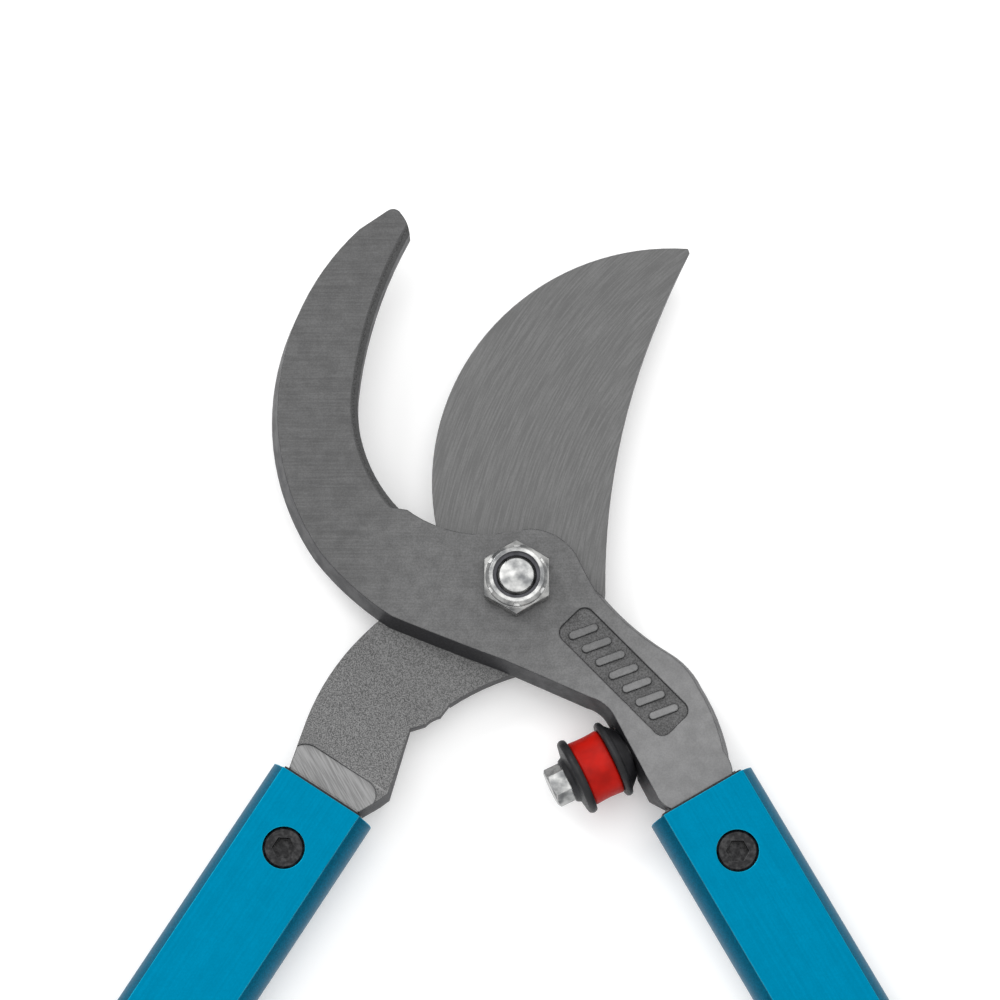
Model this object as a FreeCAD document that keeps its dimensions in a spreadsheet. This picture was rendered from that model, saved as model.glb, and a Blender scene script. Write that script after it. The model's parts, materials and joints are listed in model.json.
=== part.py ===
"""Bypass loppers: a hooked jaw and a cutting blade on one pivot, each with a tubular handle.

The frame: the pivot's axis is Z, the tool lies on the pivot bolt's head and the grips at Z = 0,
and +Y points out along the jaws. The jaws stand open. The driving dimensions are in the sheet
"Sizes", in millimetres and degrees.
"""
import FreeCAD
import Part

import math
import os

import Sketcher

from FreeCAD import Placement, Rotation, Vector

SIZES = [
    # The stack on the pivot, from the ground up
    ("bolt_head_thick", 5.0, "height of the pivot bolt's head"),
    ("washer_thick", 1.5, "thickness of the washer under the blade"),
    ("blade_thick", 5.5, "thickness of the blade"),
    ("lap_gap", 0.15, "gap between the blade and the hook"),
    ("hook_thick", 8.0, "thickness of the hook"),
    ("nut_hex_thick", 5.5, "height of the nut's hexagon"),
    ("nut_collar_thick", 2.75, "height of the nut's round collar"),
    ("bolt_below_collar", 0.8, "how far the bolt's end stays inside the collar"),
    # The pivot
    ("pivot_bolt_dia", 10.0, "diameter of the pivot bolt"),
    ("pivot_hex_wall", 3.0, "metal between the pivot bolt's shank and the flats of its head and nut"),
    ("bush_wall", 1.5, "wall of the blade's bush"),
    ("washer_dia", 22.0, "diameter of the washer"),
    ("running_gap", 0.05, "radial gap of a turning or sliding fit"),
    ("blade_boss_radius", 22.4, "radius of the blade's boss about the pivot"),
    ("hook_lap_radius", 32.0, "radius about the pivot inside which the hook is thin"),
    ("blade_lap_radius", 39.0, "radius about the pivot inside which the blade is thin"),
    ("hook_ramp", 13.5, "width of the hook's ramp down to the back of its thick tang"),
    ("blade_ramp", 24.0, "width of the blade's long ramp up to its tang's front"),
    # The jaws
    ("jaw_length", 98.0, "reach of the jaws from the pivot"),
    ("forging_draft", 12.0, "draft of the hook's forged sides, degrees"),
    ("inner_chamfer", 1.7, "chamfer along the hook's inner edge"),
    ("bevel_width", 16.0, "width of the blade's ground bevel"),
    ("edge_thick", 0.5, "thickness left at the cutting edge"),
    # The handles
    ("grip_thick", 28.0, "thickness of a grip, which rests on the ground"),
    ("grip_width", 35.5, "width of a grip"),
    ("grip_length", 225.0, "length of a grip"),
    ("tube_width", 28.5, "width of a handle tube"),
    ("tube_thick", 18.5, "thickness of a handle tube over its lands"),
    ("tube_wall", 2.0, "wall of a handle tube"),
    ("tube_length", 560.0, "length of a handle tube"),
    ("land_width", 22.4, "width of the flat land along a tube"),
    ("land_step", 1.1, "height of the land above the tube's shoulders"),
    ("right_angle", -60.0, "direction of the hook's handle, degrees from +X"),
    ("left_angle", -123.0, "direction of the blade's handle, degrees from +X"),
    ("right_offset", 12.9, "distance of the hook's handle axis from the pivot"),
    ("left_offset", -11.3, "distance of the blade's handle axis from the pivot"),
    ("right_mouth", 69.2, "start of the hook's tube along its axis"),
    ("left_mouth", 70.8, "start of the blade's tube along its axis"),
    ("tongue_width", 20.0, "width of the tongue inside a tube"),
    ("tongue_thick", 10.0, "thickness of the tongue inside a tube"),
    ("tongue_length", 50.0, "length of the tongue inside a tube"),
    ("right_lip", 0.6, "how far the hook side's liner stands out of its tube"),
    ("left_lip", 0.7, "how far the blade side's liner stands out of its tube"),
    ("left_tang_top", 5.4, "height of the blade's tang above the handle's middle"),
    ("tang_draft", 3.0, "draft of the blade's tang above and below its parting line, degrees"),
    ("milled_depth", 0.45, "depth of the milled pad on the blade's tang"),
    ("milled_length", 8.1, "length of the milled pad on the blade's tang"),
    # The tube fasteners
    ("screw_distance", 16.6, "distance of the tube screw from the tube's mouth"),
    ("screw_dia", 6.0, "diameter of the tube screw"),
    ("screw_head_dia", 10.0, "diameter of the tube screw's head"),
    ("screw_head_thick", 4.0, "height of the tube screw's head"),
    ("screw_socket", 5.0, "width across the flats of the tube screw's socket"),
    ("barrel_dia", 8.0, "diameter of the barrel nut"),
    ("head_gap", 0.25, "radial gap round a screw head"),
    # The bumper
    ("bumper_angle", 206.0, "direction in which the bumper points, degrees from +X"),
    ("bumper_reach", 50.0, "distance of the bumper's axis from the pivot, square to it"),
    ("bumper_core_dia", 16.7, "diameter of the bumper's soft core"),
    ("bumper_core_length", 8.2, "length of the bumper's soft core"),
    ("bumper_flange_dia", 19.7, "diameter of the bumper's flanges"),
    ("bumper_flange_thick", 2.0, "thickness of a bumper flange"),
    ("bumper_bolt_dia", 5.0, "diameter of the bumper's bolt"),
    ("bumper_flats", 8.8, "width across the flats of the bumper bolt's head"),
    ("bumper_travel", 3.0, "how far the bumper squashes"),
    ("close_angle", 42.4, "angle through which the blade closes, degrees"),
    ("seat_gap", 0.1, "gap left between the bumper and its seat when closed"),
    # The recess with raised bars on the hook's tang
    ("recess_length", 37.8, "length of the recess"),
    ("recess_width", 10.5, "width of the recess"),
    ("recess_depth", 0.65, "depth of the recess"),
    ("bar_width", 1.9, "width of a raised bar"),
    ("bar_length", 7.6, "length of a raised bar"),
    ("bar_pitch", 4.7, "distance from one raised bar to the next"),
]

# The reach of the jaws that the outlines below are drawn for, and where the jaws start
JAW_LENGTH_DRAWN = 98.0
JAW_ROOT = 20.0

doc = FreeCAD.newDocument("loppers")
sheet = doc.addObject("Spreadsheet::Sheet", "Sizes")


def fill_sheet():
    """Write the driving dimensions into the sheet, one row each, with an alias."""
    for row, (alias, value, meaning) in enumerate(SIZES, start=1):
        sheet.set(f"A{row}", meaning)
        sheet.set(f"B{row}", str(value))
        sheet.setAlias(f"B{row}", alias)
    doc.recompute()


fill_sheet()


def size(alias):
    """The value of one cell of the sheet."""
    return float(sheet.get(alias))


def bind(obj, **formulas):
    """Tie properties of an object to formulas of the sheet's cells."""
    for prop, formula in formulas.items():
        words = formula.split(" ")
        tied = ["Sizes." + word if word.isidentifier() else word for word in words]
        obj.setExpression(prop.replace("__", "."), " ".join(tied))


# Heights of the stack, as formulas of the sheet's cells
BLADE_BOTTOM = "bolt_head_thick + washer_thick"
BLADE_TOP = BLADE_BOTTOM + " + blade_thick"
HOOK_BOTTOM = BLADE_TOP + " + lap_gap"
HOOK_TOP = HOOK_BOTTOM + " + hook_thick"
HOOK_BACK = "grip_thick - ( " + HOOK_TOP + " )"
HEX_TOP = HOOK_TOP + " + nut_hex_thick"
COLLAR_TOP = HEX_TOP + " + nut_collar_thick"


# ---------------------------------------------------------------- outlines

class Via(tuple):
    """The middle point of an arc that runs between its two neighbours in a path."""


def via(x, y):
    return Via((x, y))


def stretched(path):
    """The path with its points beyond the jaws' root moved along Y to the jaws' real reach."""
    factor = (size("jaw_length") - JAW_ROOT) / (JAW_LENGTH_DRAWN - JAW_ROOT)
    return [type(p)((p[0], p[1] if p[1] < JAW_ROOT else JAW_ROOT + (p[1] - JAW_ROOT) * factor)) for p in path]


def grown(path, distance):
    """The path with each point moved outwards by a distance (anticlockwise paths grow)."""
    moved = []
    count = len(path)
    for i, point in enumerate(path):
        before = Vector(*path[i - 1], 0)
        after = Vector(*path[(i + 1) % count], 0)
        here = Vector(*point, 0)
        first = (here - before).normalize()
        second = (after - here).normalize()
        outwards = Vector(first.y + second.y, -first.x - second.x, 0).normalize()
        spread = distance / max(0.5, outwards.dot(Vector(first.y, -first.x, 0)))
        here += outwards * spread
        moved.append(type(point)((here.x, here.y)))
    return moved


def draw(sketch, path):
    """Add a closed path to a sketch: straight runs, and an arc through each Via point."""
    spots = [Vector(point[0], point[1], 0) for point in path]
    count = len(path)
    i = 0
    while i < count:
        if isinstance(path[(i + 1) % count], Via):
            sketch.addGeometry(Part.Arc(spots[i], spots[(i + 1) % count], spots[(i + 2) % count]))
            i += 2
        else:
            sketch.addGeometry(Part.LineSegment(spots[i], spots[(i + 1) % count]))
            i += 1


def rounded_rectangle(width, height, radius, centre=(0.0, 0.0), turn=0.0):
    """A path round a rectangle with rounded corners, turned by an angle in degrees."""
    corners = [(1, -1), (1, 1), (-1, 1), (-1, -1)]
    path = []
    for number, (side_x, side_y) in enumerate(corners):
        middle_x = side_x * (width / 2 - radius)
        middle_y = side_y * (height / 2 - radius)
        for step, kind in ((0, tuple), (45, Via), (90, tuple)):
            angle = math.radians(90 * number - 90 + step)
            path.append(kind((middle_x + radius * math.cos(angle), middle_y + radius * math.sin(angle))))
    cos_turn = math.cos(math.radians(turn))
    sin_turn = math.sin(math.radians(turn))
    return [type(p)((centre[0] + p[0] * cos_turn - p[1] * sin_turn,
                     centre[1] + p[0] * sin_turn + p[1] * cos_turn)) for p in path]


def hexagon(flats, turn=0.0):
    """The corners of a hexagon, the first at an angle in degrees from +X."""
    radius = flats / math.sqrt(3)
    angles = [math.radians(turn + 60 * i) for i in range(6)]
    return [(radius * math.cos(angle), radius * math.sin(angle)) for angle in angles]


# ---------------------------------------------------------------- features

def new_body(label):
    body = doc.addObject("PartDesign::Body", label)
    body.Label = label
    return body


def origin_plane(body, role):
    return next(item for item in body.Origin.OriginFeatures if item.Role == role)


def sketch_on(body, plane, path, lift=None, placed=None):
    """A sketch on one of the body's own planes, lifted off it by a formula or placed freely."""
    sketch = body.newObject("Sketcher::SketchObject", "outline")
    sketch.AttachmentSupport = [(origin_plane(body, plane), "")]
    sketch.MapMode = "FlatFace"
    if placed is not None:
        sketch.AttachmentOffset = placed
    if lift is not None:
        bind(sketch, AttachmentOffset__Base__z=lift)
    draw(sketch, path)
    return sketch


def sketch_circle(body, plane, radius_formula, centre=(0.0, 0.0), lift=None, placed=None):
    """A sketch of one circle whose radius is tied to a formula."""
    sketch = sketch_on(body, plane, [], lift, placed)
    sketch.addGeometry(Part.Circle(Vector(centre[0], centre[1], 0), Vector(0, 0, 1), 1.0))
    number = sketch.addConstraint(Sketcher.Constraint("Radius", 0, 1.0))
    sketch.renameConstraint(number, "radius")
    bind(sketch, Constraints__radius=radius_formula)
    return sketch


def pad(body, sketch, length, reverse=False):
    feature = body.newObject("PartDesign::Pad", "pad")
    feature.Profile = sketch
    feature.Reversed = reverse
    bind(feature, Length=length)
    return feature


def cut(body, sketch, length, reverse=False, midplane=False):
    """A pocket into the body, which must take some metal away."""
    doc.recompute()
    before = body.Shape.Volume
    feature = body.newObject("PartDesign::Pocket", "pocket")
    feature.Profile = sketch
    feature.Reversed = reverse
    feature.Midplane = midplane
    bind(feature, Length=length)
    doc.recompute()
    if body.Shape.Volume >= before:
        raise RuntimeError(body.Label + ": a pocket cuts nothing")
    return feature


def loft(body, first, *others, ruled=True):
    feature = body.newObject("PartDesign::AdditiveLoft", "loft")
    feature.Profile = first
    feature.Sections = list(others)
    feature.Ruled = ruled
    return feature


def turned(body, path, kind="Revolution", placed=None):
    """A profile of (radius, height) points turned about the sketch's own vertical axis."""
    plane = "XZ_Plane" if placed is None else "XY_Plane"
    sketch = sketch_on(body, plane, path, placed=placed)
    doc.recompute()
    before = 0.0 if body.Shape.isNull() else body.Shape.Volume
    feature = body.newObject("PartDesign::" + kind, kind.lower())
    feature.Profile = sketch
    feature.ReferenceAxis = (sketch, ["V_Axis"])
    feature.Angle = 360.0
    doc.recompute()
    if kind == "Groove" and body.Shape.Volume >= before:
        raise RuntimeError(body.Label + ": a groove cuts nothing")
    return feature


def band(inner, outer, low, high):
    """The half section of a plain ring."""
    return [(inner, low), (outer, low), (outer, high), (inner, high)]


# ---------------------------------------------------------------- places

blade_bottom = size("bolt_head_thick") + size("washer_thick")
blade_top = blade_bottom + size("blade_thick")
hook_bottom = blade_top + size("lap_gap")
hook_top = hook_bottom + size("hook_thick")
hex_top = hook_top + size("nut_hex_thick")
collar_top = hex_top + size("nut_collar_thick")
handle_height = size("grip_thick") / 2
pivot_radius = size("pivot_bolt_dia") / 2
pivot_flats = size("pivot_bolt_dia") + 2 * size("pivot_hex_wall")
bore_radius = pivot_radius + size("running_gap")
bush_radius = pivot_radius + size("running_gap") + size("bush_wall")
draft_per_mm = math.tan(math.radians(size("forging_draft")))


class Handle:
    """One handle's own frame: along runs down the tube from the pivot, across is square to it."""

    def __init__(self, side, lip):
        self.side = side
        self.angle = math.radians(size(side + "_angle"))
        self.offset = size(side + "_offset")
        self.mouth = size(side + "_mouth")
        self.lip = lip
        self.end = self.mouth + size("tube_length")
        self.screw = self.mouth + size("screw_distance")

    def point(self, along, across):
        across += self.offset
        return (along * math.cos(self.angle) - across * math.sin(self.angle),
                along * math.sin(self.angle) + across * math.cos(self.angle))

    def place(self, obj):
        """Tie an object's Placement to the handle's axis and height."""
        angle = f"Sizes.{self.side}_angle"
        offset = f"Sizes.{self.side}_offset"
        obj.setExpression(
            "Placement",
            f"create(<<placement>>; create(<<vector>>; -{offset} * sin({angle}); {offset} * cos({angle}); "
            f"Sizes.grip_thick / 2); create(<<rotation>>; create(<<vector>>; 0; 0; 1); {angle}))")


RIGHT = Handle("right", size("right_lip"))
LEFT = Handle("left", size("left_lip"))


def direction(angle):
    return Vector(math.cos(math.radians(angle)), math.sin(math.radians(angle)), 0)


def bumper_point(angle, out, along):
    """A point given out along the bumper's direction and along the line square to it."""
    outward = direction(angle)
    return (out * outward.x - along * outward.y, out * outward.y + along * outward.x)


def frame_at(spot, x_axis, y_axis):
    """A placement at a spot with two of its axes given."""
    return Placement(Vector(*spot), Rotation(x_axis, y_axis, x_axis.cross(y_axis), "XYZ"))


UP = Vector(0, 0, 1)
BUMPER_OUT = direction(size("bumper_angle"))
BUMPER_FOOT = (*bumper_point(size("bumper_angle"), 0, size("bumper_reach")), handle_height)

# Places along the bumper's axis, counted outwards from the pivot
BUMPER_FACE = -6.0
BUMPER_SPIGOT_RADIUS = 4.0
BUMPER_SPIGOT_LENGTH = 4.0
BUMPER_BASE_THICK = 2.5
core_start = BUMPER_FACE + BUMPER_BASE_THICK + size("bumper_flange_thick")
core_end = core_start + size("bumper_core_length")
cap_end = core_end + size("bumper_flange_thick")
base_foot = size("bumper_flange_dia") / 2 * 0.62
SPOT_FACE_GAP = 1.3
CAP_BOSS_THICK = 1.7
BUMPER_HEAD_THICK = 4.5
head_start = cap_end + CAP_BOSS_THICK
head_end = head_start + BUMPER_HEAD_THICK
SHANK_DEPTH = 8.0
BUMPER_BORE_END = BUMPER_FACE - SHANK_DEPTH - size("bumper_travel") - 1.5


# ---------------------------------------------------------------- the hook jaw

# The ends of the hook's two inner arcs: at the tip, where they meet, and at the step by the pivot
INNER_TIP = (-27.0, 89.9)
INNER_BEND = (-39.9, 47.5)
INNER_STEP = (-29.1, 18.3)
RAMP_RISE = 12.0


def hook_sides():
    """The front edge of the hook, anticlockwise, as its tang, its inside and its outside."""
    half = size("tongue_width") / 2 - 0.4
    end = RIGHT.mouth - RIGHT.lip
    belly = [(-3.0, -20.0), via(8.0, -24.85), (18.3, -29.4), via(22.3, -31.6), RIGHT.point(41.9, -9.0),
             RIGHT.point(end - 5.0, -half - 0.3)]
    back = [RIGHT.point(end - 6.0, half + 0.3), via(49.5, -37.0), (44.7, -26.6), via(41.6, -21.9),
            (37.4, -18.4), via(27.4, -11.0), (20.0, -3.2)]
    mouth = [via(*RIGHT.point(end - 1.6, -half + 0.1)), RIGHT.point(end, -half + 1.2),
             RIGHT.point(end, half - 0.6), via(*RIGHT.point(end - 1.3, half))]
    shoulder = [via(17.2, 1.9), (14.9, 6.6), via(10.2, 11.2), (3.4, 13.2)]
    inside = [(-2.4, 12.3), via(-14.9, 12.4), (-27.3, 18.0), INNER_STEP, via(-36.8, 29.9), INNER_BEND,
              via(-35.8, 68.7), INNER_TIP]
    tip = [via(-27.6, 92.1), (-29.2, 94.8), via(-30.8, 96.0), (-32.6, 95.6), (-39.7, 90.7)]
    outside = [via(-59.9, 46.1), (-48.9, 7.2), via(-41.1, -1.2), (-31.0, -9.0), via(-18.4, -14.1)]
    return (belly, mouth, back), shoulder + stretched(inside + tip), stretched(outside)


def add_tongue(body, handle):
    """The flat tongue that runs into a handle tube, with the hole for its barrel nut."""
    half = size("tongue_width") / 2
    start = handle.mouth - handle.lip - 0.5
    end = handle.mouth + size("tongue_length")
    path = [handle.point(start, -half), handle.point(end, -half), handle.point(end, half),
            handle.point(start, half)]
    bottom = "grip_thick / 2 - tongue_thick / 2"
    pad(body, sketch_on(body, "XY_Plane", path, lift=bottom), "tongue_thick")
    hole = sketch_circle(body, "XY_Plane", "barrel_dia / 2 + running_gap", handle.point(handle.screw, 0),
                         lift="grip_thick / 2")
    cut(body, hole, "tongue_thick * 2", midplane=True)


RECESS_SPOT = (26.5, -22.9)
RECESS_TURN = -45.5
RECESS_CORNER = 2.6
BAR_COUNT = 7
BAR_SLANT = -24.0


def add_recess(body):
    """The long shallow recess on the tang's front, with a row of slanted raised bars."""
    outline = rounded_rectangle(size("recess_length"), size("recess_width"), RECESS_CORNER, RECESS_SPOT,
                                RECESS_TURN)
    cut(body, sketch_on(body, "XY_Plane", outline, lift=HOOK_TOP), "recess_depth")
    along = direction(RECESS_TURN)
    for number in range(BAR_COUNT):
        shift = (number - (BAR_COUNT - 1) / 2) * size("bar_pitch")
        spot = (RECESS_SPOT[0] + along.x * shift, RECESS_SPOT[1] + along.y * shift)
        bar = rounded_rectangle(size("bar_width"), size("bar_length"), size("bar_width") * 0.49, spot,
                                RECESS_TURN + BAR_SLANT)
        pad(body, sketch_on(body, "XY_Plane", bar, lift=HOOK_TOP), "recess_depth", reverse=True)


def edges_between(shape, points, height):
    """The names of the edges at a height that end at two neighbours of a row of points."""
    names = []
    for number, edge in enumerate(shape.Edges, start=1):
        ends = [vertex.Point for vertex in edge.Vertexes]
        on_row = [any((Vector(*spot, height) - end).Length < 0.01 for spot in points) for end in ends]
        if len(ends) == 2 and all(on_row):
            names.append(f"Edge{number}")
    return names


def make_hook_jaw():
    """The hooked jaw, forged in one piece with its tang and tongue."""
    body = new_body("hook_jaw")
    (belly, mouth, back), inside, outside = hook_sides()
    front = belly + mouth + back + inside + outside
    widest = grown(front, draft_per_mm * size("hook_thick"))
    mouth_start = len(belly)
    mouth_end = mouth_start + len(mouth)
    tang_end = mouth_end + len(back)
    inside_end = tang_end + len(inside)
    widest[mouth_start:mouth_end] = mouth
    widest[tang_end:inside_end] = inside
    loft(body, sketch_on(body, "XY_Plane", widest, lift=HOOK_BOTTOM),
         sketch_on(body, "XY_Plane", front, lift=HOOK_TOP))
    back_thick = hook_top + hook_bottom - 2 * handle_height
    thick_part = widest[:tang_end]
    loft(body, sketch_on(body, "XY_Plane", thick_part, lift=HOOK_BOTTOM),
         sketch_on(body, "XY_Plane", grown(thick_part, -draft_per_mm * back_thick), lift=HOOK_BACK))
    doc.recompute()
    names = edges_between(body.Shape, stretched([INNER_TIP, INNER_BEND, INNER_STEP]), hook_top)
    jaw_blank = body.Tip
    chamfer = body.newObject("PartDesign::Chamfer", "inner_edge")
    chamfer.Base = (jaw_blank, names)
    bind(chamfer, Size="inner_chamfer")
    lap = size("hook_lap_radius")
    far_below = hook_bottom - RAMP_RISE
    turned(body, [(0, far_below), (lap + size("hook_ramp"), far_below), (lap, hook_bottom), (0, hook_bottom)],
           "Groove")
    cut(body, sketch_circle(body, "XY_Plane", "pivot_bolt_dia / 2 + running_gap", lift=HOOK_BOTTOM),
        "hook_thick", reverse=True)
    add_tongue(body, RIGHT)
    add_recess(body)
    spigot = band(0, BUMPER_SPIGOT_RADIUS, BUMPER_FACE - BUMPER_SPIGOT_LENGTH, BUMPER_FACE + 2)
    bore = band(0, size("bumper_bolt_dia") / 2 + size("running_gap"), BUMPER_BORE_END, BUMPER_FACE)
    spot_face = band(0, base_foot + SPOT_FACE_GAP, BUMPER_FACE, BUMPER_FACE + BUMPER_BASE_THICK)
    for path in (spigot, bore, spot_face):
        turned(body, path, "Groove", placed=frame_at(BUMPER_FOOT, UP, BUMPER_OUT))
    return body


# ---------------------------------------------------------------- the cutting blade

def seat_point(out, along):
    """A point beside the seat that meets the bumper when the blade has closed."""
    angle = size("bumper_angle") - size("close_angle")
    return bumper_point(angle, out, along)


def blade_edge():
    """The centre and radius of the cutting edge's circle, and its tip, middle and heel."""
    tip, middle, heel = stretched([(43.9, 87.8), (-10.9, 60.9), (-20.2, 15.5)])
    circle = Part.Circle(*[Vector(*spot, 0) for spot in (tip, middle, heel)])
    return circle.Center, circle.Radius, tip, middle, heel


def left_tang_sides():
    """The two sides of the blade's tang from the lap to the tube, outer side first."""
    half = size("tongue_width") / 2 + 0.6
    end = LEFT.mouth - LEFT.lip
    seat = head_end + size("seat_gap")
    reach = size("bumper_reach")
    outer = [(-35.2, -9.3), via(-45.4, -21.1), (-52.6, -35.6), LEFT.point(end, -half)]
    inner = [LEFT.point(end, half - 0.2), seat_point(seat + 1.8, reach + 12.6), seat_point(seat, reach + 10.2),
             seat_point(seat, reach - 7.8), seat_point(seat - 3.2, reach - 9.9),
             via(*seat_point(seat - 4.6, reach - 11.9)), seat_point(seat - 6.2, reach - 13.1)]
    return outer, inner + LAP_SIDE


# The inner side of the blade arm beside the pivot
LAP_SIDE = [(-16.6, -29.9), via(-8.0, -25.1), (0.9, -21.8)]


def blade_outline():
    """The outline of the blade as far as its tang, anticlockwise from the tip."""
    tip, middle, heel = blade_edge()[2:]
    outer = left_tang_sides()[0]
    boss = size("blade_boss_radius")
    turn = [math.radians(angle) for angle in (-80.0, -42.0, -5.0)]
    boss_points = [(boss * math.cos(angle), boss * math.sin(angle)) for angle in turn]
    spine_end = stretched([(44.3, 86.6)])
    return ([tip, via(*middle), heel, via(-24.6, 2.4), outer[0]] + LAP_SIDE
            + [boss_points[0], via(*boss_points[1]), boss_points[2]]
            + stretched([via(27.7, 43.6)]) + spine_end)


def add_left_tang(body):
    """The blade's tang: widest at its parting line, level with the blade's front, with draft both ways."""
    outer, inner = left_tang_sides()
    widest = outer + inner
    draft = math.tan(math.radians(size("tang_draft")))
    tang_front = handle_height + size("left_tang_top")
    for thick, height in ((tang_front - blade_top, "grip_thick / 2 + left_tang_top"),
                          (size("blade_thick"), BLADE_BOTTOM)):
        loft(body, sketch_on(body, "XY_Plane", widest, lift=BLADE_TOP),
             sketch_on(body, "XY_Plane", grown(widest, -draft * thick), lift=height))


def make_cutting_blade():
    """The cutting blade, with its tang, tongue and ground bevel."""
    body = new_body("cutting_blade")
    outline = sketch_on(body, "XY_Plane", blade_outline(), lift=BLADE_BOTTOM)
    pad(body, outline, "blade_thick")
    add_left_tang(body)
    lap = size("blade_lap_radius")
    tang_rise = handle_height + size("left_tang_top") - blade_top
    ramp_end = lap + size("blade_ramp") * RAMP_RISE / tang_rise
    ramp_top = blade_top + RAMP_RISE
    turned(body, [(0, blade_top), (lap, blade_top), (ramp_end, ramp_top), (0, ramp_top)], "Groove")
    bush_hole = sketch_circle(body, "XY_Plane", "pivot_bolt_dia / 2 + running_gap + bush_wall",
                              lift=BLADE_BOTTOM)
    cut(body, bush_hole, "blade_thick", reverse=True)
    add_bevel(body)
    add_milled_pad(body)
    add_tongue(body, LEFT)
    return body


# How far the bevel's cut runs past the tip, in degrees, and past the metal, in millimetres
BEVEL_OVERRUN = 6.0
CUT_PAST = 2.0


def add_bevel(body):
    """The bevel ground on the blade's back, a cone about the cutting edge's own centre."""
    centre, radius, tip, _, heel = blade_edge()
    start = math.degrees(math.atan2(tip[1] - centre.y, tip[0] - centre.x)) - BEVEL_OVERRUN
    end = math.degrees(math.atan2(heel[1] - centre.y, heel[0] - centre.x)) % 360
    edge = size("edge_thick")
    width = size("bevel_width")
    slope = (size("blade_thick") - edge) / width
    past = CUT_PAST
    path = [(radius - width - past, blade_bottom - slope * past), (radius + past, blade_bottom - slope * past),
            (radius + past, blade_top - edge + slope * past)]
    middle_turn = math.radians((start + end) / 2)
    out = Vector(math.cos(middle_turn), math.sin(middle_turn), 0)
    sketch = sketch_on(body, "XY_Plane", path, placed=frame_at((centre.x, centre.y, 0), out, UP))
    doc.recompute()
    before = body.Shape.Volume
    groove = body.newObject("PartDesign::Groove", "bevel")
    groove.Profile = sketch
    groove.ReferenceAxis = (sketch, ["V_Axis"])
    groove.Midplane = True
    groove.Angle = end - start
    doc.recompute()
    if body.Shape.Volume >= before:
        raise RuntimeError("the bevel cuts nothing")


def add_milled_pad(body):
    """The milled flat across the tang's front at the tube's mouth, with rounded ends."""
    half = size("tongue_width") / 2
    end = LEFT.mouth - LEFT.lip
    start = end - size("milled_length")
    corner = [LEFT.point(end + 1, -half - 3.0), LEFT.point(start + 3.4, -half - 2.2),
              via(*LEFT.point(start + 0.9, -half - 0.4)), LEFT.point(start, -half + 2.2)]
    round_end = [LEFT.point(start, half - 1.8), via(*LEFT.point(start + 1.3, half + 1.1)),
                 LEFT.point(start + 3.8, half + 2.1), via(*LEFT.point(start + 6.5, half + 1.2)),
                 LEFT.point(end + 1, half - 1.2)]
    path = (corner + round_end)[::-1]
    cut(body, sketch_on(body, "XY_Plane", path, lift="grip_thick / 2 + left_tang_top"), "milled_depth")


# ---------------------------------------------------------------- the pivot's hardware

CORNER_SPARE = 0.5
CORNER_SHARE = 0.97
CORNER_SLOPE = math.tan(math.radians(30))


def chamfer_corners(body, flats, low, high, bevel_low, bevel_high):
    """Turn off the hexagon's corners at its low and high faces, at 30 degrees."""
    past = flats / math.sqrt(3) + CORNER_SPARE
    circle = flats / 2 * CORNER_SHARE
    rise = (past - circle) * CORNER_SLOPE
    if bevel_low:
        turned(body, [(circle, low), (past, low + rise), (past, low - 1), (circle, low - 1)], "Groove")
    if bevel_high:
        turned(body, [(circle, high), (circle, high + 1), (past, high + 1), (past, high - rise)], "Groove")


def make_pivot_bolt():
    """The hexagon bolt that the jaws turn on, its head on the ground."""
    body = new_body("pivot_bolt")
    head = sketch_on(body, "XY_Plane", hexagon(pivot_flats, 90))
    pad(body, head, "bolt_head_thick")
    chamfer_corners(body, pivot_flats, 0, size("bolt_head_thick"), True, False)
    end = collar_top - size("bolt_below_collar")
    shank = [(0, 1), (pivot_radius, 1), (pivot_radius, end - BOLT_CROWN), (pivot_radius - BOLT_CROWN, end),
             (0, end)]
    turned(body, shank)
    return body


# The nut's collar, and the nylon ring inside it
BOLT_CROWN = 0.8
COLLAR_RIM = 0.9
RING_SINK = 0.4
collar_radius = pivot_flats / 2 - 0.3
collar_wall = collar_radius - pivot_radius
lock_ring_radius = pivot_radius + collar_wall * 0.55
crimp_depth = (collar_radius - lock_ring_radius) * 0.58


def make_pivot_nut():
    """The self-locking nut on the hook's front: a hexagon under a round collar."""
    body = new_body("pivot_nut")
    pad(body, sketch_on(body, "XY_Plane", hexagon(pivot_flats, 90), lift=HOOK_TOP), "nut_hex_thick")
    chamfer_corners(body, pivot_flats, hook_top, hex_top, True, True)
    turned(body, [(0, hex_top - 1), (collar_radius, hex_top - 1), (collar_radius, collar_top - COLLAR_RIM),
                  (collar_radius - COLLAR_RIM, collar_top), (0, collar_top)])
    ring_top = collar_top - 0.6
    turned(body, band(0, pivot_radius, hook_top - 1, collar_top + 1), "Groove")
    turned(body, band(0, lock_ring_radius, hex_top - RING_SINK, ring_top), "Groove")
    turned(body, band(0, pivot_radius + collar_wall / 3, ring_top - 0.5, collar_top + 1), "Groove")
    notch = rounded_rectangle(1.6, crimp_depth * 2, crimp_depth / 2, (0, collar_radius))
    feature = cut(body, sketch_on(body, "XY_Plane", notch, lift=COLLAR_TOP), "nut_collar_thick * 0.55")
    pattern = body.newObject("PartDesign::PolarPattern", "crimps")
    pattern.Originals = [feature]
    pattern.Axis = (origin_plane(body, "Z_Axis"), [""])
    pattern.Angle = 360
    pattern.Occurrences = 6
    body.Tip = pattern
    return body


def make_nut_lock_ring():
    """The nylon ring held in the nut's collar, which grips the bolt's thread."""
    body = new_body("nut_lock_ring")
    turned(body, band(pivot_radius, lock_ring_radius, hex_top - RING_SINK, collar_top - 1.1))
    return body


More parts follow.
